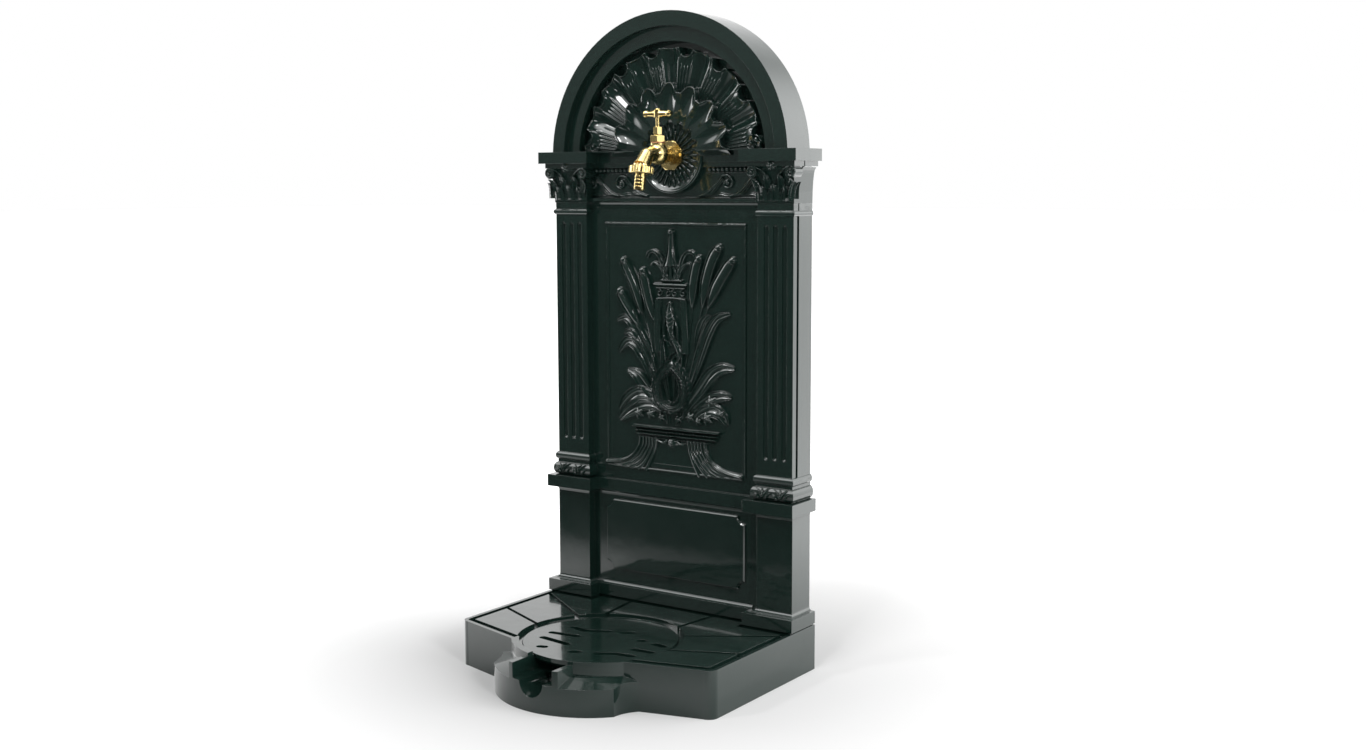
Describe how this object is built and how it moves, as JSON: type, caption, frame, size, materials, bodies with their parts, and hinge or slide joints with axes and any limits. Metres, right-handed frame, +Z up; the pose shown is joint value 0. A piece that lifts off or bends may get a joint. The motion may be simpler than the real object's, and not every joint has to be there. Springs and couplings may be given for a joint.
{
  "type": "garden fountain",
  "caption": "Arched cast garden fountain with pilasters, a scallop niche, a relief panel, a brass bib tap with a hose union, and a drained tray with a lift-out grate.",
  "frame": {"origin": "middle of the base's underside, midway in X and Y of the whole object's box", "axes": "+X to the right seen from the front, the front faces -Y, +Z up"},
  "size_m": [0.451, 0.374, 0.9423],
  "materials": {
    "green_paint": "glossy dark green enamel on cast metal",
    "polished_brass": "polished",
    "valve_brass": "as turned",
    "seal_rubber": "matt black",
    "seal_fibre": "red fibre",
    "zinc_steel": "zinc plated",
    "pipe_copper": "drawn copper tube"
  },
  "bodies": {
    "fountain": {"base_tray": "green_paint", "upright_casting": "green_paint", "relief_panel": "green_paint", "shell_ornament": "green_paint", "rosette": "green_paint", "tap_wall_flange": "polished_brass", "tap_body": "polished_brass", "tap_bonnet": "polished_brass", "gland_nut": "polished_brass", "back_nut": "polished_brass", "wall_elbow": "polished_brass", "compression_nuts": "polished_brass", "inlet_connector": "polished_brass", "olives": "valve_brass", "bonnet_washer": "seal_fibre", "gland_packing": "seal_fibre", "shank_washer": "zinc_steel", "riser_pipe": "pipe_copper", "pipe_clips": "zinc_steel", "clip_screws": "zinc_steel", "panel_screws": "zinc_steel", "shell_screws": "zinc_steel", "base_bolts": "zinc_steel", "base_washers": "zinc_steel", "base_nuts": "zinc_steel"},
    "valve": {"jumper_valve": "valve_brass", "valve_washer": "seal_rubber", "valve_washer_nut": "valve_brass"},
    "handle": {"tap_spindle": "polished_brass", "tee_handle": "polished_brass", "handle_screw": "polished_brass"},
    "tail": {"hose_tail": "polished_brass", "union_washer": "seal_rubber"},
    "union": {"union_nut": "polished_brass"},
    "drain_grate": {"grate": "green_paint"}
  },
  "joints": [
    {"name": "valve_lift", "type": "slide", "parent": "fountain", "child": "valve", "axis": [0, 0, 1], "range_m": [0, 0.005]},
    {"name": "handle_turn", "type": "hinge", "parent": "valve", "child": "handle", "pos_m": [0, 0.111, 0.762], "axis": [0, 0, 1], "range_deg": [0, 900]},
    {"name": "tail_travel", "type": "slide", "parent": "fountain", "child": "tail", "axis": [0, -0.1736, -0.9848], "range_m": [0, 0.00907]},
    {"name": "union_nut_turn", "type": "hinge", "parent": "tail", "child": "union", "pos_m": [0, 0.07037, 0.7161], "axis": [0, -0.1736, -0.9848], "range_deg": [0, 1800]},
    {"name": "grate_lift", "type": "slide", "parent": "fountain", "child": "drain_grate", "axis": [0, 0, 1], "range_m": [0, 0.04]}
  ],
  "couplings": [
    {"joint": "valve_lift", "follows": "handle_turn", "m_per_rad": 0.00031831},
    {"joint": "tail_travel", "follows": "union_nut_turn", "m_per_rad": 0.00028871}
  ]
}
